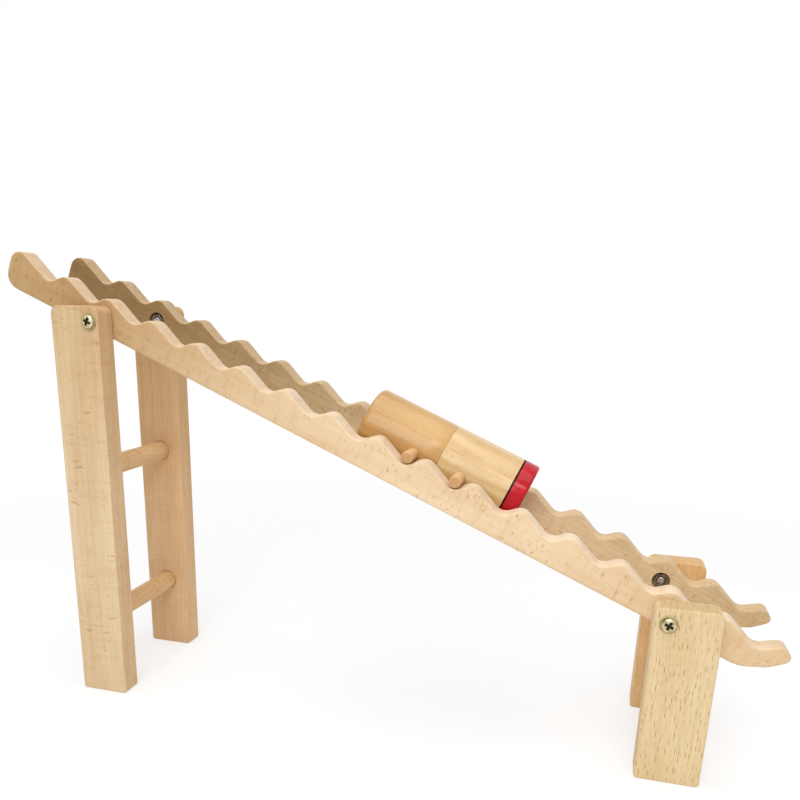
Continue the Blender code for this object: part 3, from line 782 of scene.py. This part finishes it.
def build_washer(tag, place):
    inner = BOLT_RADIUS + FIT
    half = WASHER_THICKNESS / 2.0
    upper = [
        (inner, half), (WASHER_RADIUS - WASHER_CHAMFER, half), (WASHER_RADIUS, half - WASHER_CHAMFER),
    ]
    mesh = turned(f"washer_{tag}_ring", [*upper, *turned_over(upper)], HARDWARE_SIDES, place, True)
    new_piece(f"washer_{tag}_ring", mesh, "rails", "washer_zinc", [WASHER_ZINC], f"washer_{tag}")


def build_bolt(tag, seat, axes):
    node = f"pivot_bolt_{tag}"
    place = frame_matrix(seat, *axes)
    top = frame_matrix(seat + axes[2] * BOLT_HEAD_HEIGHT, *axes)
    mesh = turned(f"{node}_screw", bolt_profile(), HARDWARE_SIDES, place)
    mesh = without(mesh, [cross_cutter(f"cross_{tag}", top)])
    new_piece(f"{node}_screw", mesh, "rails", "bolt_zinc", BOLT_FINISHES_AND_SHADE, node)
    shade_and_finish_bolt(mesh, place)


def build_nut(tag):
    node = f"pivot_nut_{tag}"
    piece = new_piece(
        f"{node}_hex", welded_copy(node, f"{node}_hex"), "rails", "nut_zinc", [NUT_ZINC], node,
    )
    bevel = piece.modifiers.new("chamfer", "BEVEL")
    bevel.width = NUT_CHAMFER
    bevel.segments = NUT_CHAMFER_STEPS
    bevel.limit_method = "ANGLE"
    bevel.angle_limit = NUT_EDGE_ANGLE


def build_hardware():
    for end in ("rear", "front"):
        pivot = Vector(JOINTS[f"{end}_leg_fold"]["pos_m"])
        for side, sign in SIDES.items():
            tag = f"{end}_{side}"
            outward = ACROSS * sign
            axes = (HEADWARD, outward.cross(HEADWARD), outward)
            washer_middle = pivot + outward * (LEG_OUTER + SEAT + WASHER_THICKNESS / 2.0)
            build_washer(tag, frame_matrix(washer_middle, *axes))
            build_bolt(tag, pivot + outward * BOLT_SEAT, axes)
            build_nut(tag)


# The clown: two turned halves, the painted cap and four pegs

HEAD_FINISHES = [WOODS["head"], CAP_RED, LINE_BLACK]
BARE, CAP, LINE = range(len(HEAD_FINISHES))


def head_profile():
    gap = SEAM_GAP / 2.0
    socket = SPIGOT_RADIUS + FIT
    return [
        (0.0, HEAD_LENGTH),
        *rim(CLOWN_RADIUS, HEAD_LENGTH, HEAD_ROUND),
        (CLOWN_RADIUS, CAP_EDGE),
        (CLOWN_RADIUS, CAP_EDGE - CAP_LINE),
        *[(CLOWN_RADIUS, HEAD_LENGTH * share) for share in HEAD_RING_SHARES],
        (CLOWN_RADIUS, gap + SEAM_CHAMFER),
        (CLOWN_RADIUS - SEAM_SOFTENING, gap + SEAM_SOFTENING),
        (CLOWN_RADIUS - SEAM_CHAMFER, gap),
        (socket, gap),
        (socket, SPIGOT_LENGTH + FIT),
        (BORE_RADIUS, SPIGOT_LENGTH + FIT),
        (BORE_RADIUS, HEAD_LENGTH - END_WALL),
        (0.0, HEAD_LENGTH - END_WALL),
    ]


def tail_profile():
    gap = SEAM_GAP / 2.0
    return [
        (0.0, END_WALL - TAIL_LENGTH),
        (BORE_RADIUS, END_WALL - TAIL_LENGTH),
        (BORE_RADIUS, SPIGOT_LENGTH),
        (SPIGOT_RADIUS, SPIGOT_LENGTH),
        (SPIGOT_RADIUS, -gap),
        (CLOWN_RADIUS - SEAM_CHAMFER, -gap),
        (CLOWN_RADIUS - SEAM_SOFTENING, -gap - SEAM_SOFTENING),
        (CLOWN_RADIUS, -gap - SEAM_CHAMFER),
        *[(CLOWN_RADIUS, -TAIL_LENGTH * share) for share in TAIL_RING_SHARES],
        *turned_over(rim(CLOWN_RADIUS, TAIL_LENGTH, TAIL_ROUND)),
        (0.0, -TAIL_LENGTH),
    ]


def peg_place(height, sign):
    outward = ACROSS * sign
    origin = CLOWN_FRAME @ Vector((0.0, sign * (CLOWN_RADIUS - PEG_SOCKET_DEPTH), height))
    return frame_matrix(origin, HEADWARD, outward.cross(HEADWARD), outward)


def paint_cap(mesh):
    to_local = CLOWN_FRAME.inverted()
    for face in mesh.polygons:
        centre = to_local @ face.center
        on_side = Vector((centre.x, centre.y)).length > PAINTED_SKIN
        outside = on_side or centre.z > HEAD_LENGTH - HEAD_ROUND
        if outside and centre.z > CAP_EDGE:
            face.material_index = CAP
        elif outside and centre.z > CAP_EDGE - CAP_LINE:
            face.material_index = LINE
        else:
            face.material_index = BARE


def build_clown():
    halves = {
        "head": (head_profile(), PEG_SPACING / 2.0, HEAD_FINISHES),
        "tail": (tail_profile(), -PEG_SPACING / 2.0, [WOODS["tail"]]),
    }
    peg_end = PEG_REACH - (CLOWN_RADIUS - PEG_SOCKET_DEPTH)
    peg_profile = [(0.0, peg_end), *rim(PEG_RADIUS, peg_end, PEG_TIP_ROUND), (PEG_RADIUS, 0.0), (0.0, 0.0)]
    socket_end = 2.0 * PEG_SOCKET_DEPTH
    socket_radius = PEG_RADIUS + PEG_CLEARANCE
    socket_profile = [(0.0, socket_end), (socket_radius, socket_end), (socket_radius, -FIT), (0.0, -FIT)]
    for half, (profile, height, finishes) in halves.items():
        sockets = []
        for side, sign in SIDES.items():
            node = f"{half}_peg_{side}"
            place = peg_place(height, sign)
            sockets.append(turned(f"{half}_{side}_socket", socket_profile, DOWEL_SIDES, place))
            peg = turned(f"{node}_dowel", peg_profile, DOWEL_SIDES, place)
            new_piece(f"{node}_dowel", peg, "clown", "peg_wood", [WOODS["peg"]], node)
        node = f"clown_{half}_half"
        mesh = without(turned(f"{node}_turning", profile, CLOWN_SIDES, CLOWN_FRAME), sockets)
        new_piece(f"{node}_turning", mesh, "clown", f"{half}_wood", finishes, node)
        if half == "head":
            paint_cap(mesh)


# A printed face and collar on the belly side, laid on as thin closed films

FILM_ROOT = 0.10 * MM
FILM_PROUD = 0.02 * MM
FILM_STEP = 0.012 * MM
FILM_WELD = WELD / 10.0
STRIP = 0.8 * MM

# Places and half sizes of the print in mm: across the belly, and down from the head end
OUTLINE = 0.45
OVAL_POINTS = 40
DOT_POINTS = 20
GLEAM_POINTS = 16
ARCH_STEPS = 16
SMILE_STEPS = 24
EYE_ACROSS, EYE_DOWN, EYE_HALF = 5.6, 18.6, (2.5, 3.6)
PUPIL_ACROSS, PUPIL_DOWN, PUPIL_HALF = 5.2, 19.5, (1.15, 1.6)
GLEAM_SHIFT, GLEAM_DOWN, GLEAM_HALF = -0.4, 18.8, (0.4, 0.5)
BROW_DOWN, BROW_RADIUS, BROW_ANGLES, BROW_WIDTH = 16.6, 4.2, (232.0, 308.0), 0.75
CHEEK_ACROSS, CHEEK_DOWN, CHEEK_HALF = 11.2, 26.2, (2.6, 2.3)
NOSE_DOWN, NOSE_HALF = 24.2, (3.3, 3.3)
NOSE_GLEAM_ACROSS, NOSE_GLEAM_DOWN, NOSE_GLEAM_HALF = -1.0, 23.1, (0.7, 0.5)
LIPS = (8.4, 28.6, 1.9, 6.1)
MOUTH = (7.3, 29.0, 2.1, 5.3)
FRILL_COUNT, FRILL_SPACING, FRILL_DOWN, FRILL_HALF = 7, 4.1, 42.4, (2.75, 4.3)
FRILL_DOT_DOWN, FRILL_DOT_HALF = 44.6, (0.75, 0.75)
COLLAR_HALF, COLLAR_TOP, COLLAR_BOTTOM, COLLAR_LEVEL = 15.2, 37.4, 40.4, 4
LOZENGES = {"red": 56.0, "yellow": 65.5, "purple": 75.0}
LOZENGE_HALF = (3.2, 4.0)
LOZENGE_INSET = (OUTLINE * 1.28, OUTLINE * 1.6)
LOZENGE_DOT_HALF = (0.8, 0.8)


def oval(s, t, half, points=OVAL_POINTS):
    steps = [2.0 * math.pi * index / points for index in range(points)]
    return [(s + half[0] * math.cos(angle), t + half[1] * math.sin(angle)) for angle in steps]


def arch(s, t, radius, start, end, width):
    """A band along an arc, with START and END in degrees."""
    angles = [math.radians(start + (end - start) * index / ARCH_STEPS) for index in range(ARCH_STEPS + 1)]
    outer, inner = (
        [(s + edge * math.cos(angle), t + edge * math.sin(angle)) for angle in angles]
        for edge in (radius + width / 2.0, radius - width / 2.0)
    )
    return outer + inner[::-1]


def smile(half, top, upper_sag, lower_sag):
    steps = [2.0 * index / SMILE_STEPS - 1.0 for index in range(SMILE_STEPS + 1)]
    upper = [(half * step, top + upper_sag * (1.0 - step * step)) for step in steps]
    lower = [(half * step, top + lower_sag * (1.0 - step * step)) for step in steps]
    return upper + lower[-2:0:-1]


def lozenge(t, half_s, half_t):
    return [(half_s, t), (0.0, t + half_t), (-half_s, t), (0.0, t - half_t)]


def bar(half, top, bottom):
    return [(half, top), (half, bottom), (-half, bottom), (-half, top)]


def edged_oval(ink, level, s, t, half):
    """A black oval with one of another ink on it, so that a black edge shows."""
    inner = (half[0] - OUTLINE, half[1] - OUTLINE)
    return [("black", level, oval(s, t, half)), (ink, level + 1, oval(s, t, inner))]


def print_shapes():
    """(ink, level, outline) for each film, where a higher level lies on a lower one."""
    shapes = []
    for side in (-1.0, 1.0):
        gleam_across = PUPIL_ACROSS * side + GLEAM_SHIFT
        shapes += edged_oval("white", 0, EYE_ACROSS * side, EYE_DOWN, EYE_HALF)
        shapes.append(("black", 2, oval(PUPIL_ACROSS * side, PUPIL_DOWN, PUPIL_HALF)))
        shapes.append(("white", 3, oval(gleam_across, GLEAM_DOWN, GLEAM_HALF, GLEAM_POINTS)))
        shapes.append(("black", 0, arch(EYE_ACROSS * side, BROW_DOWN, BROW_RADIUS, *BROW_ANGLES, BROW_WIDTH)))
        shapes.append(("pink", 0, oval(CHEEK_ACROSS * side, CHEEK_DOWN, CHEEK_HALF)))
    shapes += edged_oval("red", 0, 0.0, NOSE_DOWN, NOSE_HALF)
    shapes.append(("white", 2, oval(NOSE_GLEAM_ACROSS, NOSE_GLEAM_DOWN, NOSE_GLEAM_HALF, DOT_POINTS)))
    shapes.append(("black", 0, smile(*LIPS)))
    shapes.append(("red", 1, smile(*MOUTH)))
    for index in range(FRILL_COUNT):
        across = FRILL_SPACING * (index - FRILL_COUNT // 2)
        shapes += edged_oval("purple", 2 * (index % 2), across, FRILL_DOWN, FRILL_HALF)
        shapes.append(("yellow", COLLAR_LEVEL, oval(across, FRILL_DOT_DOWN, FRILL_DOT_HALF, DOT_POINTS)))
    inner_bar = bar(COLLAR_HALF - OUTLINE, COLLAR_TOP + OUTLINE, COLLAR_BOTTOM - OUTLINE)
    shapes.append(("black", COLLAR_LEVEL, bar(COLLAR_HALF, COLLAR_TOP, COLLAR_BOTTOM)))
    shapes.append(("yellow", COLLAR_LEVEL + 1, inner_bar))
    for ink, down in LOZENGES.items():
        inner = [size - inset for size, inset in zip(LOZENGE_HALF, LOZENGE_INSET)]
        shapes.append(("black", 0, lozenge(down, *LOZENGE_HALF)))
        shapes.append((ink, 1, lozenge(down, *inner)))
        shapes.append(("white", 2, oval(0.0, down, LOZENGE_DOT_HALF, DOT_POINTS)))
    return shapes


def film(outline, level):
    """A closed film over the belly, cut into strips so that it follows the round."""
    solid = bmesh.new()
    solid.faces.new([solid.verts.new((s * MM, t * MM, 0.0)) for s, t in outline])
    reach = max(abs(s) for s, _ in outline) * MM
    count = math.ceil(reach / STRIP)
    for index in range(-count, count + 1):
        bmesh.ops.bisect_plane(
            solid,
            geom=[*solid.verts, *solid.edges, *solid.faces],
            dist=FILM_WELD,
            plane_co=(index * STRIP, 0.0, 0.0),
            plane_no=(1.0, 0.0, 0.0),
        )
    raised = bmesh.ops.extrude_face_region(solid, geom=list(solid.faces), use_keep_orig=True)
    top = {vertex for vertex in raised["geom"] if isinstance(vertex, bmesh.types.BMVert)}
    for vertex in solid.verts:
        across, down, _ = vertex.co
        radius = CLOWN_RADIUS + (FILM_PROUD + FILM_STEP * level if vertex in top else -FILM_ROOT)
        angle = across / CLOWN_RADIUS
        vertex.co = (radius * math.cos(angle), radius * math.sin(angle), HEAD_LENGTH - down)
    bmesh.ops.recalc_face_normals(solid, faces=solid.faces)
    solid.transform(CLOWN_FRAME)
    return solid


def build_print():
    by_ink = {}
    for ink, level, outline in print_shapes():
        by_ink.setdefault(ink, []).append((outline, level))
    for ink, shapes in by_ink.items():
        mesh = bpy.data.meshes.new(f"belly_print_{ink}")
        whole = bmesh.new()
        for outline, level in shapes:
            solid = film(outline, level)
            solid.to_mesh(mesh)
            solid.free()
            whole.from_mesh(mesh)
        whole.to_mesh(mesh)
        whole.free()
        smooth(mesh)
        new_piece(f"belly_print_{ink}", mesh, "clown", "head_wood", [INKS[ink]])


# Stage, light and camera

WHITE = (1.0, 1.0, 1.0, 1.0)
FLOOR_RADIUS = 6.0
FLOOR_SIDES = 96
FLOOR_COLOURS = ((250, 250, 250), (252, 252, 252))
FLOOR_MOTTLE = Texture((3.0, 3.0, 3.0), 2.0, 0.5)
FLOOR_ROUGHNESS = 0.9
FLOOR_GLOSS = 0.1
FLOOR_CLEAR = 0.3
FLOOR_WHITE = 0.75
FLOOR_LIFT = 0.6
FILL_STRENGTH = 0.40

Softbox = namedtuple("Softbox", "place target size energy")
SOFTBOXES = {
    "key": Softbox((0.02, -1.0, 0.80), (0.05, 0.0, 0.1), 0.7, 5.0),
    "glint": Softbox((0.434, -0.79, 0.957), (0.06, 0.0, 0.135), 0.26, 1.3),
    "top": Softbox((0.02, -0.1, 1.4), (0.0, 0.0, 0.1), 1.6, 14.0),
}

CAMERA_PLACE = Vector((0.11357, -0.43727, 0.22801))
CAMERA_RIGHT = Vector((0.958252, 0.285362, 0.017959))
CAMERA_UP = Vector((-0.101450, 0.280605, 0.954447))
SENSOR_WIDTH = 36.0
LENS = 36.26
SHIFT_X = 0.0495
SHIFT_Y = 0.2008
CLIP_START = 0.01


def seen_directly(tree):
    """One for the camera and for mirror-like reflections, nought for soft light."""
    path = add_node(tree, "ShaderNodeLightPath")
    seen = maths(tree, "MAXIMUM", path.outputs["Is Camera Ray"], path.outputs["Is Glossy Ray"])
    return maths(tree, "MAXIMUM", seen, path.outputs["Is Transmission Ray"])


def mix_shaders(tree, share, first, second, output):
    mix = add_node(tree, "ShaderNodeMixShader", {0: share})
    tree.links.new(first.outputs[0], mix.inputs[1])
    tree.links.new(second.outputs[0], mix.inputs[2])
    tree.links.new(mix.outputs[0], tree.nodes[output].inputs["Surface"])


def build_stage():
    solid = bmesh.new()
    bmesh.ops.create_circle(solid, cap_ends=True, segments=FLOOR_SIDES, radius=FLOOR_RADIUS)
    mesh = mesh_from(solid, "floor")
    floor = bpy.data.objects.new("floor", mesh)
    bpy.context.scene.collection.objects.link(floor)
    material, tree, shader = new_material("floor_white")
    coordinates = add_node(tree, "ShaderNodeTexCoord").outputs["Object"]
    mottle = noise(tree, coordinates, FLOOR_MOTTLE)
    colour = blend(tree, mottle, *[linear(*colour) for colour in FLOOR_COLOURS])
    tree.links.new(colour, shader.inputs["Base Color"])
    shader.inputs["Roughness"].default_value = FLOOR_ROUGHNESS
    shader.inputs["Specular IOR Level"].default_value = FLOOR_GLOSS
    glow = add_node(tree, "ShaderNodeEmission", {"Color": WHITE, "Strength": 1.0})
    glow_share = ramp(tree, length_of(tree, coordinates), FLOOR_CLEAR, FLOOR_WHITE, FLOOR_LIFT, 1.0)
    share = maths(tree, "MULTIPLY", glow_share, seen_directly(tree))
    mix_shaders(tree, share, shader, glow, "Material Output")
    mesh.materials.append(material)


def build_world():
    world = bpy.data.worlds.new("studio")
    bpy.context.scene.world = world
    world.use_nodes = True
    tree = world.node_tree
    fill = tree.nodes["Background"]
    fill.inputs["Color"].default_value = WHITE
    fill.inputs["Strength"].default_value = FILL_STRENGTH
    seen = add_node(tree, "ShaderNodeBackground", {"Color": WHITE, "Strength": 1.0})
    mix_shaders(tree, seen_directly(tree), fill, seen, "World Output")


def build_lamps():
    for name, softbox in SOFTBOXES.items():
        light = bpy.data.lights.new(name, "AREA")
        light.shape = "DISK"
        light.size = softbox.size
        light.energy = softbox.energy
        lamp = bpy.data.objects.new(name, light)
        bpy.context.scene.collection.objects.link(lamp)
        lamp.location = softbox.place
        aim = Vector(softbox.target) - Vector(softbox.place)
        lamp.rotation_euler = aim.to_track_quat("-Z", "Y").to_euler()


def build_camera():
    camera = bpy.data.cameras.new("camera")
    camera.sensor_fit = "HORIZONTAL"
    camera.sensor_width = SENSOR_WIDTH
    camera.lens = LENS
    camera.shift_x = SHIFT_X
    camera.shift_y = SHIFT_Y
    camera.clip_start = CLIP_START
    view = bpy.data.objects.new("camera", camera)
    bpy.context.scene.collection.objects.link(view)
    backward = CAMERA_RIGHT.cross(CAMERA_UP)
    view.matrix_world = frame_matrix(CAMERA_PLACE, CAMERA_RIGHT, CAMERA_UP, backward)
    bpy.context.scene.camera = view


build_boards()
build_rungs()
build_hardware()
build_clown()
build_print()
frame["nodes"]["weight_ball"].data.materials[0] = BALL_STEEL

build_stage()
build_world()
build_lamps()
build_camera()
bpy.context.scene.view_settings.view_transform = "Standard"
